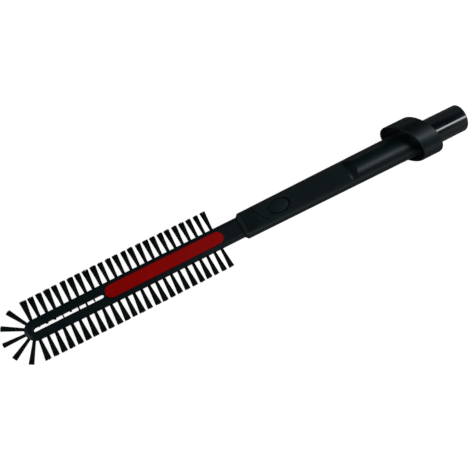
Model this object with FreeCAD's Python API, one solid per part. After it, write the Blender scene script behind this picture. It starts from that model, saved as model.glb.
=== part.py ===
import FreeCAD, Part
import math
import os

# Radiator vacuum brush, in millimetres.
# X runs from the mouth of the wand socket towards the brush tip, Z is up out of the red cover's face,
# and the origin is the centre of the socket mouth.

os.makedirs("parts", exist_ok=True)
V = FreeCAD.Vector

# Tufts
tuft_pairs = 25
tuft_pitch = 10.0
first_tuft_x = 614.0
tuft_length = 26.0
tuft_root_r = 1.4
tuft_tip_r = 3.0
tuft_sides = 8
tuft_hole_gap = 0.08
tuft_hole_depth = 6.2
tip_tuft_angles = (-60.0, -30.0, 0.0, 30.0, 60.0)
anchor_thick = 0.4
anchor_wide = 2.4
anchor_deep = 1.6

# Blade of the head
blade_tip_half = 12.4
blade_rear_half = 13.4
blade_taper_length = 120.0
blade_top = 5.5
blade_side = 3.5
blade_flat_half = 9.3
slot_width = 9.2
slot_front_past_tuft = 2.8
slot_rear_x = 526.6
slot_bar_pitches = (3.5, 5.5, 6.5)
slot_nub_pitches = (0.5, 1.5, 2.5, 4.5, 7.5)
slot_bar_thick = 1.0
slot_bar_tall = 2.4
slot_nub_long = 2.6
slot_bar_root = 0.5

# Air duct under the cover
duct_width = 11.6
duct_floor = -3.4
duct_ledge = 1.9
throat_inset = 1.0

# Red cover
cover_front_x = 524.1
cover_rear_x = 365.5
cover_half = 8.1
cover_gap = 0.35
cover_thick = 2.4
cover_proud = 0.45
cover_round = 0.8

# Round sleeve behind the blade, and the spigot that carries it in the handle
sleeve_front_x = 340.0
sleeve_flat_front = 11.5
sleeve_chamfer = 4.0
duct_cone_length = 18.0
spigot_end_x = 254.0
spigot_wall = 2.3
spigot_gap = 0.1
spigot_root = 5.0
seam_gap = 0.3

# Handle
handle_rear_x = 60.0
handle_rear_r = 20.0
handle_front_r = 17.6
handle_wall = 2.1
handle_middle_wall = 2.4
flat_z = 13.6
flat_rear_x = 176.0
flat_end_r = 9.0
seam_points = ((318.0, -21.0), (317.4, -6.0), (311.0, 5.0), (302.0, 17.0), (300.0, 21.0))

# Hanging loop at the rear of the handle
loop_outer_r = 30.7
loop_wall = 2.0
loop_rear_x = 62.5
loop_length = 34.0
loop_slant = 0.5
loop_edge = 0.7
loop_saddle_z = -15.0
loop_bite = 0.6

# Release button
button_x = 287.0
button_half_long = 14.2
button_half_wide = 8.5
button_top = 15.2
button_crown_r = 90.0
button_gap = 0.45
button_flange = 0.9
button_flange_thick = 1.6
button_flange_gap = 0.3
button_wall = 1.6
button_cap = 1.8
button_round = 0.6
well_gap = 0.3
well_floor_z = 4.0
well_wall = 1.5

# Button spring
spring_r = 3.4
spring_wire_r = 0.4
spring_turns = 4.0
spring_seat_gap = 0.05

# Glossy end tube with the wand socket
tube_r = 19.0
socket_r = 17.5
socket_depth = 42.0
tube_bore_r = 15.9
tube_spigot_r = 17.85
tube_spigot_length = 52.0
tube_gap = 0.1
tube_rim = 0.6
rear_bore_gap = 1.0

# How far cutting shapes reach past what they cut
big = 200.0
over = 1.0

# Worked out from the values above
tip_centre = V(first_tuft_x, 0, 0)
loop_inner_r = loop_outer_r - loop_wall
loop_centre_z = loop_inner_r - handle_rear_r + loop_bite
handle_slope = (handle_rear_r - handle_front_r) / (sleeve_front_x - handle_rear_x)
spigot_flat = flat_z - handle_wall - spigot_gap
spigot_front_x = seam_points[0][0] + spigot_root


def handle_r(x):
    return handle_rear_r - handle_slope * (x - handle_rear_x)


front_bore_r = handle_r(seam_points[0][0]) - handle_wall
spigot_r = front_bore_r - spigot_gap


def half_width(x):
    """Half the blade's width at x: it widens over the first stretch behind the tip."""
    share = min(max((first_tuft_x - x) / blade_taper_length, 0.0), 1.0)
    return blade_tip_half + (blade_rear_half - blade_tip_half) * share


def box(x0, x1, y0, y1, z0, z1):
    return Part.makeBox(x1 - x0, y1 - y0, z1 - z0, V(x0, y0, z0))


def rod(r, x0, x1, z=0.0):
    return Part.makeCylinder(r, x1 - x0, V(x0, 0, z), V(1, 0, 0))


def cone(r0, x0, r1, x1):
    return Part.makeCone(r0, r1, x1 - x0, V(x0, 0, 0), V(1, 0, 0))


def polygon(points):
    return Part.makePolygon([V(*p) for p in points] + [V(*points[0])])


def prism(points, direction):
    return Part.Face(polygon(points)).extrude(direction)


def stadium(x0, x1, half, z0, z1):
    """A flat bar with round ends, from x0 to x1 and z0 to z1."""
    bar = box(x0 + half, x1 - half, -half, half, z0, z1)
    ends = [Part.makeCylinder(half, z1 - z0, V(x, 0, z0)) for x in (x0 + half, x1 - half)]
    return bar.fuse(ends).removeSplitter()


def ellipse_prism(half_long, half_wide, z0, z1):
    curve = Part.Ellipse(V(button_x, 0, z0), half_long, half_wide)
    return Part.Face(Part.Wire(curve.toShape())).extrude(V(0, 0, z1 - z0))


def below(z):
    return box(-big, 4 * big, -big, big, -big, z)


def seam_front(shift):
    """Everything in front of the slanted S seam, moved back by shift."""
    points = [V(x - shift, y, -big) for x, y in seam_points]
    curve = Part.BSplineCurve()
    curve.interpolate(points)
    far_x = 4 * big
    rest = [points[-1], V(far_x, points[-1].y, -big), V(far_x, points[0].y, -big), points[0]]
    edges = [curve.toShape()] + [Part.makeLine(a, b) for a, b in zip(rest, rest[1:])]
    return Part.Face(Part.Wire(edges)).extrude(V(0, 0, 2 * big))


def tuft_seats():
    """Name, root point on the blade's wall and outward direction of each tuft."""
    seats = []
    for side, sign in (("far", -1), ("near", 1)):
        for i in range(tuft_pairs):
            x = first_tuft_x - i * tuft_pitch
            name = "tuft_%s_%02d" % (side, i + 1)
            seats.append((name, V(x, sign * half_width(x), 0), V(0, sign, 0)))
    for angle in tip_tuft_angles:
        a = math.radians(angle)
        out = V(math.cos(a), math.sin(a), 0)
        seats.append(("tip_tufts", tip_centre + out * blade_tip_half, out))
    return seats


def placed(shape, root, out):
    """Turn a shape built along +X to point along out, and move it to root."""
    shape.Placement = FreeCAD.Placement(root, FreeCAD.Rotation(V(1, 0, 0), out))
    return shape


def ring_at(r, x):
    step = 2 * math.pi / tuft_sides
    points = [(x, r * math.cos((k + 0.5) * step), r * math.sin((k + 0.5) * step)) for k in range(tuft_sides)]
    return polygon(points)


def tuft(root, out):
    """A bundle of bristles that spreads towards its tip, with the fold of its root over the anchor."""
    depth = tuft_hole_depth - tuft_hole_gap
    peg = Part.makeLoft([ring_at(tuft_root_r, -depth), ring_at(tuft_root_r, 0)], True, True)
    brush = Part.makeLoft([ring_at(tuft_root_r, 0), ring_at(tuft_tip_r, tuft_length)], True, True)
    half_thick = anchor_thick / 2 + tuft_hole_gap
    notch = box(-tuft_hole_depth, anchor_deep - depth, -half_thick, half_thick, -big, big)
    return placed(peg.fuse(brush).cut(notch).removeSplitter(), root, out)


def anchor(root, out):
    """The flat of wire that holds a tuft's fold at the bottom of its hole."""
    start = -tuft_hole_depth + tuft_hole_gap
    half_wide = anchor_wide / 2
    wire = box(start, start + anchor_deep, -anchor_thick / 2, anchor_thick / 2, -half_wide, half_wide)
    return placed(wire, root, out)


def tuft_hole(root, out):
    hole = Part.makeCylinder(tuft_root_r + tuft_hole_gap, 2 * tuft_hole_depth, V(-tuft_hole_depth, 0, 0), V(1, 0, 0))
    return placed(hole, root, out)


def blade_section(x, half, flat):
    """The blade's six-sided section, with a bevel from the flat faces to each side wall."""
    return polygon([
        (x, -half, -blade_side), (x, -flat, -blade_top), (x, flat, -blade_top),
        (x, half, -blade_side), (x, half, blade_side), (x, flat, blade_top),
        (x, -flat, blade_top), (x, -half, blade_side),
    ])


def blade():
    bevel = blade_rear_half - blade_flat_half
    taper_end = first_tuft_x - blade_taper_length
    front = blade_section(first_tuft_x, blade_tip_half, blade_tip_half - bevel)
    middle = blade_section(taper_end, blade_rear_half, blade_flat_half)
    rear = blade_section(sleeve_front_x - sleeve_chamfer, blade_rear_half, blade_flat_half)
    body = Part.makeLoft([front, middle], True, True).fuse(Part.makeLoft([middle, rear], True, True))
    tip = Part.makeCylinder(blade_tip_half, 2 * blade_side, tip_centre - V(0, 0, blade_side))
    for sign in (-1, 1):
        start = tip_centre + V(0, 0, sign * blade_side)
        rim = Part.makeCone(blade_tip_half, blade_tip_half - bevel, blade_top - blade_side, start, V(0, 0, sign))
        tip = tip.fuse(rim)
    return body.fuse(tip).removeSplitter()


def sleeve_outside():
    """The round sleeve and the handle's front as one tapered form, with the sloping flat on top."""
    form = cone(handle_rear_r, handle_rear_x, handle_front_r, sleeve_front_x)
    nose_x = sleeve_front_x - sleeve_chamfer
    nose_r = handle_r(nose_x)
    nose = cone(nose_r, nose_x, nose_r - sleeve_chamfer, sleeve_front_x)
    form = form.common(box(handle_rear_x, nose_x, -big, big, -big, big)).fuse(nose)
    seam_x = seam_points[0][0]
    corner = sleeve_flat_front - sleeve_chamfer
    profile = [
        (seam_x, 0, flat_z), (seam_x, 0, big), (sleeve_front_x + over, 0, big),
        (sleeve_front_x + over, 0, corner - over), (nose_x, 0, sleeve_flat_front),
    ]
    slope = prism([(x, -big, z) for x, _, z in profile], V(0, 2 * big, 0))
    return form.cut(slope).cut(flat_cut())


def flat_cut():
    """The space above the handle's flat, with a rounded rise at its rear end."""
    rise = flat_rear_x + flat_end_r
    space = box(rise, big * 4, -big, big, flat_z, big)
    scoop = Part.makeCylinder(flat_end_r, 2 * big, V(rise, -big, flat_z + flat_end_r), V(0, 1, 0))
    upper = box(flat_rear_x, rise, -big, big, flat_z + flat_end_r, big)
    return space.fuse([scoop, upper])


def spigot_form(r, flat, x0, x1):
    return rod(r, x0, x1).common(below(flat))


def button_well():
    """The oval pocket in the spigot that the button and its spring stand in."""
    grow = button_flange + well_gap
    return ellipse_prism(button_half_long + grow, button_half_wide + grow, well_floor_z, big)


def head_frame(seats):
    sleeve = sleeve_outside().common(seam_front(0))
    seam_back = min(x for x, _ in seam_points)
    outside = sleeve.fuse(spigot_form(spigot_r, spigot_flat, spigot_end_x, spigot_front_x))
    bore_r = spigot_r - spigot_wall
    bore_flat = spigot_flat - spigot_wall
    cone_x = sleeve_front_x - sleeve_chamfer - duct_cone_length
    bore = spigot_form(bore_r, bore_flat, spigot_end_x - over, cone_x)
    funnel = cone(bore_r, cone_x, duct_width / 2, cone_x + duct_cone_length).common(below(bore_flat))
    grow = button_flange + well_gap + well_wall
    pocket = ellipse_prism(
        button_half_long + grow, button_half_wide + grow, well_floor_z - well_wall, spigot_flat)
    pocket = pocket.common(spigot_form(spigot_r, spigot_flat, spigot_end_x, seam_back))
    frame = outside.fuse(blade()).cut(bore).cut(funnel).fuse(pocket).cut(button_well())

    slot_front_x = first_tuft_x + slot_front_past_tuft
    half_slot = slot_width / 2
    slot = stadium(slot_rear_x, slot_front_x, half_slot, -big, big)
    seat_z = blade_top + cover_proud - cover_thick
    seat_half = cover_half + cover_gap
    seat = stadium(cover_rear_x - cover_gap, cover_front_x + cover_gap, seat_half, seat_z, big)
    duct_front_x = cover_front_x - cover_half
    duct_half = duct_width / 2
    duct = box(cone_x + duct_cone_length - over, duct_front_x, -duct_half, duct_half, duct_floor, seat_z)
    low_duct_x = cover_rear_x + duct_ledge
    duct = duct.cut(box(0, low_duct_x, -big, big, blade_top - duct_ledge, big))
    throat_half = half_slot - throat_inset
    throat = box(duct_front_x - over, slot_rear_x + half_slot, -throat_half, throat_half,
                 duct_floor, seat_z - throat_inset)
    frame = frame.cut([slot, seat, duct, throat])

    bars = []
    half_tall = slot_bar_tall / 2
    root_y = -half_slot - slot_bar_root
    for pitches, reach in ((slot_bar_pitches, -root_y), (slot_nub_pitches, slot_nub_long - half_slot)):
        for k in pitches:
            x = first_tuft_x - k * tuft_pitch
            bars.append(box(x - slot_bar_thick / 2, x + slot_bar_thick / 2,
                            root_y, reach, -half_tall, half_tall))
    frame = frame.fuse(bars)
    return frame.cut([tuft_hole(root, out) for _, root, out in seats]).removeSplitter()


def red_cover():
    z1 = blade_top + cover_proud
    plate = stadium(cover_rear_x, cover_front_x, cover_half, z1 - cover_thick, z1)
    top = [e for e in plate.Edges if all(abs(v.Z - z1) < 1e-6 for v in e.Vertexes)]
    return plate.makeFillet(cover_round, top)


def loop_space(r, grow):
    """A tube's inside along the loop, with the loop's two slanted ends moved out by grow."""
    x0 = loop_rear_x - grow
    x1 = loop_rear_x + loop_length + grow
    slant = [
        (x0 - loop_slant * big, big, -big), (x0 + loop_slant * big, -big, -big),
        (x1 + loop_slant * big, -big, -big), (x1 - loop_slant * big, big, -big),
    ]
    return rod(r, -big, 2 * big, loop_centre_z).common(prism(slant, V(0, 0, 2 * big)))


def handle_tube():
    outside = sleeve_outside().cut(seam_front(seam_gap))
    loop = loop_space(loop_outer_r, 0)
    rims = [e for e in loop.Edges if e.isClosed()]
    loop = loop.makeFillet(loop_edge, rims)
    loop = loop.cut(loop_space(loop_inner_r, over))
    saddle = loop_space(loop_inner_r + loop_wall / 2, -loop_edge)
    saddle = saddle.common(box(handle_rear_x, big * 4, -big, big, -big, loop_saddle_z))
    body = outside.fuse([loop, saddle])
    front_bore_x = spigot_end_x - rear_bore_gap
    rear_bore_x = handle_rear_x + tube_spigot_length + rear_bore_gap
    rear_bore = rod(tube_spigot_r + tube_gap, handle_rear_x - over, rear_bore_x)
    middle = cone(handle_r(rear_bore_x) - handle_middle_wall, rear_bore_x,
                  handle_r(front_bore_x) - handle_middle_wall, front_bore_x)
    ceiling = below(flat_z - handle_wall)
    middle_front = middle.common(box(flat_rear_x - handle_wall, big * 4, -big, big, -big, big)).common(ceiling)
    middle_rear = middle.common(box(0, flat_rear_x - handle_wall, -big, big, -big, big))
    front_bore = spigot_form(front_bore_r, flat_z - handle_wall, front_bore_x, spigot_front_x)
    body = body.cut([rear_bore, middle_rear, middle_front, front_bore])
    hole = ellipse_prism(button_half_long + button_gap, button_half_wide + button_gap, 0, big)
    return body.cut(hole).removeSplitter()


def release_button():
    body = ellipse_prism(button_half_long, button_half_wide, 0, button_top)
    dome = Part.makeSphere(button_crown_r, V(button_x, 0, button_top - button_crown_r))
    body = body.common(dome)
    flange_top = flat_z - handle_wall - button_flange_gap
    flange_low = flange_top - button_flange_thick
    body = body.cut(box(0, 4 * big, -big, big, -big, flange_low))
    rim = [e for e in body.Edges if e.BoundBox.ZMin > flat_z - button_round]
    body = body.makeFillet(button_round, rim)
    flange = ellipse_prism(
        button_half_long + button_flange, button_half_wide + button_flange, flange_low, flange_top)
    hollow = ellipse_prism(
        button_half_long - button_wall, button_half_wide - button_wall, flange_low, button_top - button_cap)
    return body.fuse(flange).cut(hollow).removeSplitter()


def button_spring():
    low = well_floor_z + spring_wire_r + spring_seat_gap
    high = button_top - button_cap - spring_wire_r - spring_seat_gap
    helix = Part.makeHelix((high - low) / spring_turns, high - low, spring_r)
    section = Part.Wire(Part.makeCircle(spring_wire_r, V(spring_r, 0, 0), V(0, 1, 0)))
    coil = Part.Wire(helix.Edges).makePipeShell([section], True, True)
    coil.translate(V(button_x, 0, low))
    return coil


def end_tube():
    outside = rod(tube_r, 0, handle_rear_x)
    mouth = [e for e in outside.Edges if e.BoundBox.XMax < 1e-3]
    outside = outside.makeFillet(tube_rim, mouth)
    spigot_end = handle_rear_x + tube_spigot_length
    outside = outside.fuse(rod(tube_spigot_r, handle_rear_x - over, spigot_end))
    socket = rod(socket_r, -over, socket_depth)
    bore = rod(tube_bore_r, socket_depth - over, spigot_end + over)
    return outside.cut([socket, bore]).removeSplitter()


def build():
    seats = tuft_seats()
    nodes = {
        "head_frame": head_frame(seats),
        "red_cover": red_cover(),
        "handle_tube": handle_tube(),
        "release_button": release_button(),
        "button_spring": button_spring(),
        "end_tube": end_tube(),
        "tuft_anchors": Part.makeCompound([anchor(root, out) for _, root, out in seats]),
    }
    groups = {}
    for name, root, out in seats:
        groups.setdefault(name, []).append(tuft(root, out))
    for name, tufts in groups.items():
        nodes[name] = tufts[0] if len(tufts) == 1 else Part.makeCompound(tufts)
    return nodes


for node, shape in build().items():
    print(node, "solids", len(shape.Solids), "volume", round(shape.Volume), "valid", shape.isValid())
    shape.exportStep("parts/%s.step" % node)
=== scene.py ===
import bpy
import math
import random
from mathutils import Matrix, Vector


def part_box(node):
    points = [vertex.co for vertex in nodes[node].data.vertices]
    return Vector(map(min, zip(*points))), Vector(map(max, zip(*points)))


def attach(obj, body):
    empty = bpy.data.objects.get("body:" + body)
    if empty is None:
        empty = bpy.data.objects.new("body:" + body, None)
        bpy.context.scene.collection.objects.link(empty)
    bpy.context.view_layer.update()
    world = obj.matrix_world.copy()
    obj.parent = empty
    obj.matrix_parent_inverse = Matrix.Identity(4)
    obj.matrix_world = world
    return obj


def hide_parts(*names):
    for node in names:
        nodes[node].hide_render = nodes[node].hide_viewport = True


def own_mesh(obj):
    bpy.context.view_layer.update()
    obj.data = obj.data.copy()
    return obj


# Lengths are in metres, in the same frame as the solids: X towards the brush tip, Z up out of the red cover.
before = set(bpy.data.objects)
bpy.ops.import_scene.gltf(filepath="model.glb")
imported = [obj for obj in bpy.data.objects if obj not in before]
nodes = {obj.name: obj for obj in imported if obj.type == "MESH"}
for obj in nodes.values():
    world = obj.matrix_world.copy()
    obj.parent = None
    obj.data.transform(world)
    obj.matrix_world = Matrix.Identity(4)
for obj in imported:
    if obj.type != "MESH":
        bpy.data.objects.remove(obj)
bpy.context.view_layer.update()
print("stage: frame loaded,", len(nodes), "nodes")


def addObject(name, data):
    made = bpy.data.objects.new(name, data)
    bpy.context.scene.collection.objects.link(made)
    return made


# Puts an object in its place, with its own X along first, Y along second and Z along third
def setPlace(made, place, first, second, third):
    turn = Matrix((first, second, third)).transposed()
    made.matrix_world = Matrix.LocRotScale(Vector(place), turn, None)


# Camera
cameraView = {
    "place": (0.50670, 0.18145, 0.75418),
    "right": (-0.87575, 0.47770, 0.06975),
    "up": (-0.44052, -0.84984, 0.28933),
    "lens": 48.405, "sensor": 36.0, "near": 0.01,
}


def addCamera(view):
    data = bpy.data.cameras.new("photoCamera")
    data.sensor_width = view["sensor"]
    data.lens = view["lens"]
    data.clip_start = view["near"]
    camera = addObject("photoCamera", data)
    right = Vector(view["right"]).normalized()
    up = Vector(view["up"])
    up = (up - right * up.dot(right)).normalized()
    setPlace(camera, view["place"], right, up, right.cross(up))
    bpy.context.scene.camera = camera


addCamera(cameraView)
print("stage: camera")


# Node helpers
noiseRange = (0.3, 0.7)  # the levels that a noise texture mostly keeps to


def addNode(tree, kind, **sockets):
    node = tree.nodes.new(kind)
    for name, value in sockets.items():
        node.inputs[name.replace("_", " ")].default_value = value
    return node


def setOrLink(tree, socket, value):
    if isinstance(value, bpy.types.NodeSocket):
        tree.links.new(value, socket)
    else:
        socket.default_value = value


def addMath(tree, operation, *values, clamp=False):
    node = tree.nodes.new("ShaderNodeMath")
    node.operation = operation
    node.use_clamp = clamp
    for socket, value in zip(node.inputs, values):
        setOrLink(tree, socket, value)
    return node.outputs[0]


def addRange(tree, value, fromLow, fromHigh, toLow, toHigh, smooth=False):
    node = tree.nodes.new("ShaderNodeMapRange")
    if smooth:
        node.interpolation_type = "SMOOTHSTEP"
    for name, level in (("Value", value), ("From Min", fromLow), ("From Max", fromHigh),
                        ("To Min", toLow), ("To Max", toHigh)):
        setOrLink(tree, node.inputs[name], level)
    return node.outputs["Result"]


def addScaled(tree, vector, factor):
    node = tree.nodes.new("ShaderNodeVectorMath")
    node.operation = "SCALE"
    setOrLink(tree, node.inputs[0], vector)
    tree.links.new(factor, node.inputs["Scale"])
    return node.outputs[0]


def newGroup(name, inputs, outputs):
    tree = bpy.data.node_groups.new(name, "ShaderNodeTree")
    for label, kind, value in inputs:
        socket = tree.interface.new_socket(name=label, in_out="INPUT", socket_type=kind)
        socket.default_value = value
    for label, kind in outputs:
        tree.interface.new_socket(name=label, in_out="OUTPUT", socket_type=kind)
    return tree, tree.nodes.new("NodeGroupInput"), tree.nodes.new("NodeGroupOutput")


def newMaterial(name):
    material = bpy.data.materials.new(name)
    material.use_nodes = True
    return material, material.node_tree, material.node_tree.nodes["Principled BSDF"]


# Upright side and slot walls in front of wallStart along X, which the mould left coarser.
# A finish whose wallStart lies beyond the part has none.
wallTilt = 0.35  # the most that the normal of such a wall points up or down


def wallMask(tree, coordinates, start):
    parts = []
    for output in ("Normal", "Object"):
        part = tree.nodes.new("ShaderNodeSeparateXYZ")
        tree.links.new(coordinates.outputs[output], part.inputs[0])
        parts.append(part)
    tilt = addMath(tree, "ABSOLUTE", parts[0].outputs["Z"])
    upright = addMath(tree, "LESS_THAN", tilt, wallTilt)
    beyond = addMath(tree, "GREATER_THAN", parts[1].outputs["X"], start)
    return addMath(tree, "MULTIPLY", upright, beyond)


# Moulded plastic: faint mottling of tone and gloss, and a fine spark-eroded grain
grainGloss = 0.02


def mouldedGroup():
    number, colour = "NodeSocketFloat", "NodeSocketColor"
    tree, given, made = newGroup(
        "mouldedPlastic",
        [("Tone", colour, (0.02, 0.02, 0.02, 1)), ("Tone Change", number, 0.15),
         ("Roughness", number, 0.4), ("Roughness Change", number, 0.05),
         ("Grain Scale", number, 1800.0), ("Patch Scale", number, 35.0),
         ("Wall Roughness", number, 0.4), ("Wall Start", number, 10.0)],
        [("Color", colour), ("Roughness", number), ("Height", number)])
    link = tree.links.new
    coordinates = tree.nodes.new("ShaderNodeTexCoord")
    patch = addNode(tree, "ShaderNodeTexNoise", Detail=3.0, Roughness=0.6)
    grain = addNode(tree, "ShaderNodeTexNoise", Detail=2.0, Roughness=0.5)
    for noise, scale in ((patch, "Patch Scale"), (grain, "Grain Scale")):
        link(coordinates.outputs["Object"], noise.inputs["Vector"])
        link(given.outputs[scale], noise.inputs["Scale"])
    low = addMath(tree, "SUBTRACT", 1.0, given.outputs["Tone Change"])
    high = addMath(tree, "ADD", 1.0, given.outputs["Tone Change"])
    share = addRange(tree, patch.outputs["Fac"], *noiseRange, low, high)
    link(addScaled(tree, given.outputs["Tone"], share), made.inputs["Color"])
    change = given.outputs["Roughness Change"]
    glossier = addMath(tree, "MULTIPLY", change, -1.0)
    shift = addRange(tree, patch.outputs["Fac"], *noiseRange, glossier, change)
    fine = addRange(tree, grain.outputs["Fac"], *noiseRange, -grainGloss, grainGloss)
    level = tree.nodes.new("ShaderNodeMix")
    link(wallMask(tree, coordinates, given.outputs["Wall Start"]), level.inputs["Factor"])
    link(given.outputs["Roughness"], level.inputs["A"])
    link(given.outputs["Wall Roughness"], level.inputs["B"])
    rough = addMath(tree, "ADD", level.outputs["Result"], addMath(tree, "ADD", shift, fine))
    link(rough, made.inputs["Roughness"])
    link(grain.outputs["Fac"], made.inputs["Height"])
    return tree


moulded = mouldedGroup()
bevelSamples = 6
groupKeys = {
    "Tone Change": "toneChange", "Roughness": "roughness", "Roughness Change": "roughnessChange",
    "Grain Scale": "grainScale", "Patch Scale": "patchScale",
    "Wall Roughness": "wallRoughness", "Wall Start": "wallStart",
}


# Where the surface is seen at a slant it turns rougher, from glanceStart to glanceEnd
def plastic(name, look):
    material, tree, shader = newMaterial(name)
    link = tree.links.new
    group = tree.nodes.new("ShaderNodeGroup")
    group.node_tree = moulded
    for label, key in groupKeys.items():
        group.inputs[label].default_value = look[key]
    group.inputs["Tone"].default_value = (*look["tone"], 1)
    link(group.outputs["Color"], shader.inputs["Base Color"])
    facing = addNode(tree, "ShaderNodeLayerWeight", Blend=0.5).outputs["Facing"]
    glancing = addRange(tree, facing, look["glanceStart"], look["glanceEnd"],
                        0.0, look["glanceRoughness"], smooth=True)
    rough = addMath(tree, "MAXIMUM", group.outputs["Roughness"], glancing)
    link(rough, shader.inputs["Roughness"])
    edge = addNode(tree, "ShaderNodeBevel", Radius=look["edgeRadius"])
    edge.samples = bevelSamples
    bump = addNode(tree, "ShaderNodeBump", Strength=look["grainStrength"], Distance=look["grainDepth"])
    link(group.outputs["Height"], bump.inputs["Height"])
    link(edge.outputs["Normal"], bump.inputs["Normal"])
    link(bump.outputs["Normal"], shader.inputs["Normal"])
    shader.inputs["IOR"].default_value = look["ior"]
    return material


satinLook = {
    "tone": (0.0012, 0.0046, 0.0058), "toneChange": 0.2, "roughness": 0.42, "roughnessChange": 0.03,
    "grainScale": 1800.0, "patchScale": 30.0, "edgeRadius": 0.0005, "grainStrength": 0.25,
    "grainDepth": 0.00004, "ior": 1.25, "wallRoughness": 0.9, "wallStart": 0.345,
    "glanceStart": 0.1, "glanceEnd": 0.6, "glanceRoughness": 1.0,
}
glossLook = {
    "tone": (0.0008, 0.0026, 0.0034), "toneChange": 0.15, "roughness": 0.14, "roughnessChange": 0.03,
    "grainScale": 900.0, "patchScale": 45.0, "edgeRadius": 0.0003, "grainStrength": 0.06,
    "grainDepth": 0.00003, "ior": 1.36, "wallRoughness": 0.14, "wallStart": 10.0,
    "glanceStart": 0.10, "glanceEnd": 0.38, "glanceRoughness": 0.9,
}
redLook = {
    "tone": (0.30, 0.0008, 0.0006), "toneChange": 0.08, "roughness": 0.36, "roughnessChange": 0.04,
    "grainScale": 1500.0, "patchScale": 40.0, "edgeRadius": 0.0004, "grainStrength": 0.2,
    "grainDepth": 0.00004, "ior": 1.16, "wallRoughness": 0.5, "wallStart": 0.0,
    "glanceStart": 0.3, "glanceEnd": 0.8, "glanceRoughness": 0.8,
}
satinBlack = plastic("satinBlack", satinLook)
glossBlack = plastic("glossBlack", glossLook)
redPlastic = plastic("redPlastic", redLook)


# Bright drawn wire of the hidden spring and the tuft anchors
wireLook = {"tone": (0.52, 0.53, 0.55), "roughness": 0.28, "roughnessChange": 0.08, "drawScale": 4000.0}


def drawnWire(look):
    material, tree, shader = newMaterial("drawnWire")
    place = addNode(tree, "ShaderNodeTexCoord").outputs["Object"]
    streaks = addNode(tree, "ShaderNodeTexNoise", Scale=look["drawScale"], Detail=2.0)
    tree.links.new(place, streaks.inputs["Vector"])
    rough = addRange(tree, streaks.outputs["Fac"], *noiseRange,
                     look["roughness"] - look["roughnessChange"], look["roughness"] + look["roughnessChange"])
    tree.links.new(rough, shader.inputs["Roughness"])
    shader.inputs["Base Color"].default_value = (*look["tone"], 1)
    shader.inputs["Metallic"].default_value = 1.0
    return material


steelWire = drawnWire(wireLook)


# Nylon filaments: each has its own tone and gloss, and all carry painted light close to the cut tips, a paler
# tone standing for the light the exposed tips catch while the roots stay in shade
bristleLook = {
    "tone": (0.0014, 0.0028, 0.0032), "toneChange": 0.5, "tipPaintedLight": 1.2, "tipPower": 6.0,
    "roughness": 0.6, "roughnessChange": 0.06, "ior": 1.22,
}


def readAttribute(tree, name):
    node = tree.nodes.new("ShaderNodeAttribute")
    node.attribute_name = name
    return node.outputs["Fac"]


def bristleNylon(look):
    material, tree, shader = newMaterial("bristleNylon")
    link = tree.links.new
    own = readAttribute(tree, "filamentTone")
    along = readAttribute(tree, "alongFilament")
    change, coarser = look["toneChange"], look["roughnessChange"]
    share = addMath(tree, "MULTIPLY_ADD", own, 2 * change, 1 - change)
    # painted light: the tone is raised towards each filament's tip as if lit, leaving the roots darker as
    # painted shade
    tip = addMath(tree, "POWER", along, look["tipPower"])
    paler = addMath(tree, "MULTIPLY_ADD", tip, look["tipPaintedLight"] - 1, 1.0)
    tone = addScaled(tree, look["tone"], addMath(tree, "MULTIPLY", share, paler))
    link(tone, shader.inputs["Base Color"])
    rough = addMath(tree, "MULTIPLY_ADD", own, 2 * coarser, look["roughness"] - coarser)
    link(rough, shader.inputs["Roughness"])
    shader.inputs["IOR"].default_value = look["ior"]
    return material


bristle = bristleNylon(bristleLook)
print("stage: materials")


# Finishes of the solids that stay
finishes = {
    "head_frame": (satinBlack, "satin_black"),
    "handle_tube": (satinBlack, "satin_black"),
    "release_button": (satinBlack, "satin_black"),
    "red_cover": (redPlastic, "red_plastic"),
    "end_tube": (glossBlack, "gloss_black"),
    "button_spring": (steelWire, "spring_steel"),
    "tuft_anchors": (steelWire, "spring_steel"),
}
for name, (material, slotName) in finishes.items():
    solid = nodes[name]
    solid.data.materials.clear()
    solid.data.materials.append(material)
print("stage: finishes")


# A piece of the scene's own on the body of the brush
def addPiece(name, mesh):
    piece = addObject(name, mesh)
    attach(piece, "brush")
    return piece


coilSpring = addPiece("coilSpring", nodes["button_spring"].data.copy())
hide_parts("button_spring")
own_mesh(coilSpring)
print("stage: spring")


# Tufts: each solid is replaced by a bundle of filaments that spreads towards its cut tips.
# A crowding of 0.5 fills the bundle evenly, and less moves its filaments outwards.
tuftMake = {
    "pairs": 25, "length": 0.026, "rootRadius": 0.00165,
    "frontTipRadius": 0.0039, "rearTipRadius": 0.0035, "fanTipRadius": 0.0031,
    "buried": 0.002, "filaments": 92, "thickness": 0.00054, "taper": 0.9, "sides": 5, "rings": 4,
    "crowding": 0.4, "turnChange": 0.2, "tipChange": 0.06, "bendPower": 1.2,
    "ragged": 0.0008, "lean": 0.0006, "uneven": 0.1, "seed": 11,
    "tipCentre": (0.614, 0.0, 0.0), "tipHalf": 0.0124, "tipExtra": 0.0015,
    "tipAngles": (-60.0, -30.0, 0.0, 30.0, 60.0),
}
goldenTurn = math.pi * (3 - math.sqrt(5))


def filament(start, lean, end, look, points, faces, along):
    base = len(points)
    axis = (end - start).normalized()
    side = axis.orthogonal().normalized()
    other = axis.cross(side)
    sides, rings = look["sides"], look["rings"]
    for ring in range(rings):
        share = ring / (rings - 1)
        centre = start.lerp(end, share) + lean * (share ** look["bendPower"] - share)
        radius = look["thickness"] / 2 * (1 - (1 - look["taper"]) * share)
        for k in range(sides):
            angle = 2 * math.pi * k / sides
            points.append(centre + (side * math.cos(angle) + other * math.sin(angle)) * radius)
            along.append(share)
    for ring in range(rings - 1):
        low = base + ring * sides
        for k in range(sides):
            after = (k + 1) % sides
            faces.append((low + k, low + after, low + sides + after, low + sides + k))
    last = base + (rings - 1) * sides
    faces.append(tuple(range(last, last + sides)))
    faces.append(tuple(reversed(range(base, base + sides))))


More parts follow.
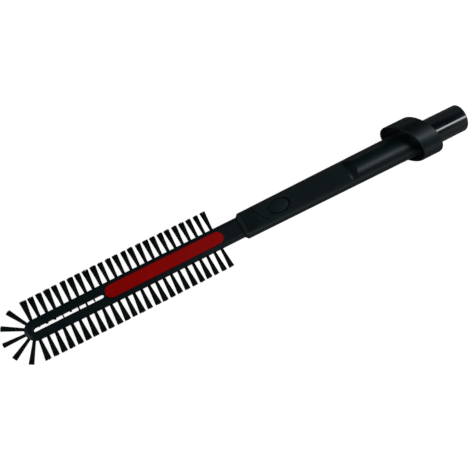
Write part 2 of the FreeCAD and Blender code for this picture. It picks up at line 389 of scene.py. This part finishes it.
def addTuft(name, root, out, tipRadius, length, look, dice):
    points, faces, along, tones = [], [], [], []
    rise = Vector((0, 0, 1))
    across = rise.cross(out)
    bend = (across * dice.uniform(-1, 1) + rise * dice.uniform(-1, 1)) * look["lean"]
    tipRadius *= dice.uniform(1 - look["uneven"], 1 + look["uneven"])
    count = look["filaments"]
    for i in range(count):
        turn = i * goldenTurn + dice.uniform(-look["turnChange"], look["turnChange"])
        spread = ((i + 0.5) / count) ** look["crowding"]
        direction = across * math.cos(turn) + rise * math.sin(turn)
        start = root - out * look["buried"] + direction * spread * look["rootRadius"]
        reach = length - abs(dice.gauss(0, look["ragged"] / 2))
        tipSpread = min(spread + dice.uniform(-look["tipChange"], look["tipChange"]), 1.0)
        end = root + out * reach + direction * tipSpread * tipRadius + bend
        before = len(points)
        filament(start, end - start - out * (end - start).dot(out), end, look, points, faces, along)
        tones += [dice.random()] * (len(points) - before)
    mesh = bpy.data.meshes.new(name)
    mesh.from_pydata([tuple(p) for p in points], [], faces)
    mesh.shade_smooth()
    for label, values in (("filamentTone", tones), ("alongFilament", along)):
        mesh.attributes.new(label, "FLOAT", "POINT").data.foreach_set("value", values)
    mesh.materials.append(bristle)
    return addPiece(name, mesh)


def addTufts(look):
    dice = random.Random(look["seed"])
    for side, sign in (("far", -1), ("near", 1)):
        for i in range(look["pairs"]):
            node = "tuft_%s_%02d" % (side, i + 1)
            low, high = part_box(node)
            centre = (low + high) / 2
            outer = high.y if sign > 0 else low.y
            root = Vector((centre.x, outer - sign * look["length"], centre.z))
            share = i / (look["pairs"] - 1)
            tipRadius = look["frontTipRadius"] * (1 - share) + look["rearTipRadius"] * share
            tuft = addTuft("%sTuft%02d" % (side, i + 1), root, Vector((0, sign, 0)),
                           tipRadius, look["length"], look, dice)
            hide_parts(node)
    for i, degrees in enumerate(look["tipAngles"]):
        angle = math.radians(degrees)
        out = Vector((math.cos(angle), math.sin(angle), 0))
        root = Vector(look["tipCentre"]) + out * look["tipHalf"]
        tuft = addTuft("tipTuft%02d" % (i + 1), root, out,
                       look["fanTipRadius"], look["length"] + look["tipExtra"], look, dice)
        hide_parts("tip_tufts")


addTufts(tuftMake)
print("stage: tufts")


# Grooves that the joints of the mouldings show, and the loop's slanted rear end, cut out of the handle tube
grooveLook = {
    "seamLine": ((0.318, -0.021), (0.3174, -0.006), (0.311, 0.005), (0.302, 0.017), (0.300, 0.021)),
    "seamNear": 0.002, "seamWiden": 0.00045, "seamReach": 0.03, "seamSide": 0.005,
    "buttonX": 0.2862, "buttonLong": 0.0156, "buttonWide": 0.0096, "buttonLow": 0.0105,
    "high": 0.03, "turns": 96,
}
loopTrim = {
    "rearX": 0.0668, "slant": 0.41, "startX": 0.030, "outer": 0.06, "clear": 0.00003, "turns": 128,
    "handleX": 0.060, "handleRadius": 0.020, "handleSlope": 0.0085714,
}


def addCutter(name, points, faces, solid):
    mesh = bpy.data.meshes.new(name)
    mesh.from_pydata(points, [], faces)
    cutter = addObject(name, mesh)
    cutter.hide_render = True
    cutter.hide_viewport = True
    cutter.display_type = "WIRE"
    modifier = solid.modifiers.new(name, "BOOLEAN")
    modifier.operation = "DIFFERENCE"
    modifier.solver = "EXACT"
    modifier.object = cutter


# Faces between rings of points, the last ring joined to the first
def tubeFaces(rings, count):
    faces = []
    for level in range(rings):
        here, there = level * count, (level + 1) % rings * count
        for k in range(count):
            after = (k + 1) % count
            faces.append((here + k, here + after, there + after, there + k))
    return faces


def outlinePrism(outline, low, high):
    count = len(outline)
    points = [(x, y, z) for z in (low, high) for x, y in outline]
    sides = [(k, (k + 1) % count, count + (k + 1) % count, count + k) for k in range(count)]
    return points, sides + [tuple(reversed(range(count))), tuple(range(count, 2 * count))]


# Points of the solid along its slanted front edge, from the far side to the near one
def seamEdge(solid, look):
    line = sorted(look["seamLine"], key=lambda point: point[1])
    found = {}
    for vertex in solid.data.vertices:
        x, y, z = solid.matrix_world @ vertex.co
        for (x0, y0), (x1, y1) in zip(line, line[1:]):
            if y0 <= y <= y1 and abs(x - x0 - (x1 - x0) * (y - y0) / (y1 - y0)) < look["seamNear"]:
                found[round(y, 5)] = x
    return [(found[y], y) for y in sorted(found)]


def cutGrooves(look):
    solid = nodes["handle_tube"]
    edge = seamEdge(solid, look)
    (x0, y0), (x1, y1) = edge[0], edge[-1]
    edge = [(x0, y0 - look["seamSide"])] + edge + [(x1, y1 + look["seamSide"])]
    back = [(x - look["seamWiden"], y) for x, y in edge]
    front = [(x + look["seamReach"], y) for x, y in reversed(edge)]
    seam = list(reversed(back + front))
    addCutter("seamCutter", *outlinePrism(seam, -look["high"], look["high"]), solid)
    angles = [2 * math.pi * k / look["turns"] for k in range(look["turns"])]
    ring = [(look["buttonX"] + look["buttonLong"] * math.cos(a), look["buttonWide"] * math.sin(a))
            for a in angles]
    addCutter("buttonCutter", *outlinePrism(ring, look["buttonLow"], look["high"]), solid)


# A ring round the tapered handle that ends in the slanted plane of the loop's rear end
def trimLoop(look):
    count, outer, slant = look["turns"], look["outer"], look["slant"]
    startX, rearX, slope = look["startX"], look["rearX"], look["handleSlope"]
    base = look["handleRadius"] + look["clear"] + slope * look["handleX"]
    startRadius = base - slope * startX
    rings = [[], [], [], []]
    for k in range(count):
        angle = 2 * math.pi * k / count
        y, z = math.cos(angle), math.sin(angle)
        radius = (base - slope * rearX) / (1 - slope * slant * y)
        rings[0].append((startX, startRadius * y, startRadius * z))
        rings[1].append((startX, outer * y, outer * z))
        rings[2].append((rearX - slant * outer * y, outer * y, outer * z))
        rings[3].append((rearX - slant * radius * y, radius * y, radius * z))
    points = [point for ring in rings for point in ring]
    addCutter("loopCutter", points, tubeFaces(len(rings), count), nodes["handle_tube"])


cutGrooves(grooveLook)
trimLoop(loopTrim)
print("stage: grooves")


# Slot of the blade: its rounded inner lip, and the thicker bars and nubs that stiffen it.
# A bar is numbered by its place behind firstX in tuft pitches. Its reach is a share of the slot's
# half width from the middle, and 1 is right across.
slotLip = {
    "frontX": 0.6167, "rearX": 0.5267, "solidHalf": 0.0046, "outerHalf": 0.0047, "innerHalf": 0.0030,
    "halfTall": 0.00545, "ease": 0.0005, "easeShare": 0.3, "turns": 12,
}
slotBars = {
    "thick": {6.5: 0.0021, 5.5: 0.0015, 3.5: 0.0008, 7.5: 0.0016,
              0.5: 0.0024, 1.5: 0.0026, 2.5: 0.0026, 4.5: 0.0026},
    "reach": {6.5: 1.0, 5.5: 1.0, 3.5: 1.0, 7.5: 0.1, 0.5: -0.85, 1.5: -0.57, 2.5: -0.57, 4.5: -0.57},
    "firstX": 0.614, "pitch": 0.010, "halfTall": 0.0045, "sunk": 0.0003,
}
boxFaces = [(0, 2, 3, 1), (4, 5, 7, 6), (0, 1, 5, 4), (2, 6, 7, 3), (0, 4, 6, 2), (1, 3, 7, 5)]


def stadiumRing(rearX, frontX, half, turns):
    points = []
    for centre, start in ((frontX - half, -90), (rearX + half, 90)):
        for i in range(turns + 1):
            angle = math.radians(start + 180 * i / turns)
            points.append((centre + half * math.cos(angle), half * math.sin(angle)))
    return points


def addSlotPiece(name, points, faces):
    mesh = bpy.data.meshes.new(name)
    mesh.from_pydata(points, [], faces)
    mesh.materials.append(satinBlack)
    addPiece(name, mesh)


def addSlotLip(look):
    inset = look["outerHalf"] - look["solidHalf"]
    outer = stadiumRing(look["rearX"] - inset, look["frontX"] + inset, look["outerHalf"], look["turns"])
    inner = stadiumRing(look["rearX"], look["frontX"], look["innerHalf"], look["turns"])
    share = look["easeShare"]
    eased = [(x * (1 - share) + ox * share, y * (1 - share) + oy * share)
             for (x, y), (ox, oy) in zip(inner, outer)]
    tall, low = look["halfTall"], look["halfTall"] - look["ease"]
    rings = [(outer, tall), (eased, tall), (inner, low), (inner, -low), (eased, -tall), (outer, -tall)]
    points = [(x, y, z) for ring, z in rings for x, y in ring]
    addSlotPiece("slotLip", points, tubeFaces(len(rings), len(outer)))


def addSlotBars(look, half):
    for pitch, thick in look["thick"].items():
        x = look["firstX"] - pitch * look["pitch"]
        ends = (-half - look["sunk"], look["reach"][pitch] * half + look["sunk"])
        corners = [(x + a * thick / 2, y, c * look["halfTall"])
                   for c in (-1, 1) for y in ends for a in (-1, 1)]
        addSlotPiece("slotBar%02d" % round(pitch * 10), corners, boxFaces)


addSlotLip(slotLip)
addSlotBars(slotBars, slotLip["innerHalf"])
print("stage: slot")


# Floor under the loop and the sleeve, on which the part lies
floorLook = {
    "touch": (0.0965, 0.0, -0.0215), "slope": 0.0157, "size": 12.0, "tone": (0.8, 0.8, 0.8),
    "seenTone": (0.253, 0.22, 0.212), "seenGlow": 0.93,
}


def floorWhite(look):
    material, tree, shader = newMaterial("floorWhite")
    link = tree.links.new
    tree.nodes.remove(shader)
    plain = addNode(tree, "ShaderNodeBsdfDiffuse", Color=(*look["tone"], 1))
    seen = addNode(tree, "ShaderNodeBsdfDiffuse", Color=(*look["seenTone"], 1))
    glow = addNode(tree, "ShaderNodeEmission", Color=(1, 1, 1, 1), Strength=look["seenGlow"])
    both = tree.nodes.new("ShaderNodeAddShader")
    link(seen.outputs[0], both.inputs[0])
    link(glow.outputs[0], both.inputs[1])
    path = tree.nodes.new("ShaderNodeLightPath")
    looking = addMath(tree, "ADD", path.outputs["Is Camera Ray"], path.outputs["Is Glossy Ray"])
    looking = addMath(tree, "ADD", looking, path.outputs["Is Transmission Ray"], clamp=True)
    mix = tree.nodes.new("ShaderNodeMixShader")
    for socket, output in zip(mix.inputs, (looking, plain.outputs[0], both.outputs[0])):
        link(output, socket)
    link(mix.outputs[0], tree.nodes["Material Output"].inputs["Surface"])
    return material


def addFloor(look):
    half = look["size"] / 2
    x, y, z = look["touch"]
    corners = [(x + a * half, y + b * half, z + a * half * look["slope"])
               for a, b in ((-1, -1), (1, -1), (1, 1), (-1, 1))]
    mesh = bpy.data.meshes.new("floor")
    mesh.from_pydata(corners, [], [(0, 1, 2, 3)])
    mesh.materials.append(floorWhite(look))
    addObject("floor", mesh)


addFloor(floorLook)


# Studio light: a long softbox at the rear on the near side, fills beyond both ends, a weak one above,
# and a room that is dark above and paler at the sides
lampSetup = {
    "key": {"place": (-0.65, 0.66, 1.30), "towards": (0.15, 0.0, 0.0), "along": (1, 0, 0),
            "long": 0.9, "wide": 0.30, "power": 16.0},
    "rearFill": {"place": (-1.60, 0.2, 1.25), "towards": (0.30, 0.0, 0.0), "along": (0, 1, 0),
                 "long": 0.7, "wide": 1.0, "power": 14.0},
    "tipFill": {"place": (1.85, 0.0, 0.95), "towards": (0.40, 0.0, 0.0), "along": (0, 1, 0),
                "long": 0.7, "wide": 0.7, "power": 9.0},
    "topFill": {"place": (0.05, -0.35, 1.43), "towards": (0.35, 0.0, 0.0), "along": (1, 0, 0),
                "long": 0.5, "wide": 0.4, "power": 0.7},
}
room = {"above": 0.05, "side": 0.20, "start": 0.02, "end": 0.18}
lightColour = (0.87, 1.0, 1.04)


def addLamp(name, look):
    data = bpy.data.lights.new(name, "AREA")
    data.shape = "RECTANGLE"
    data.size = look["long"]
    data.size_y = look["wide"]
    data.energy = look["power"]
    data.color = lightColour
    back = (Vector(look["place"]) - Vector(look["towards"])).normalized()
    along = Vector(look["along"])
    along = (along - back * along.dot(back)).normalized()
    setPlace(addObject(name, data), look["place"], along, back.cross(along), back)


def addRoom(look):
    world = bpy.data.worlds.new("room")
    bpy.context.scene.world = world
    world.use_nodes = True
    tree = world.node_tree
    place = tree.nodes.new("ShaderNodeTexCoord")
    parts = tree.nodes.new("ShaderNodeSeparateXYZ")
    tree.links.new(place.outputs["Generated"], parts.inputs[0])
    level = addRange(tree, parts.outputs["Z"], look["start"], look["end"],
                     look["side"], look["above"], smooth=True)
    tree.links.new(level, tree.nodes["Background"].inputs["Strength"])
    tree.nodes["Background"].inputs["Color"].default_value = (*lightColour, 1)


for name, look in lampSetup.items():
    addLamp(name, look)
addRoom(room)
bpy.context.scene.view_settings.view_transform = "Standard"
print("stage: light")
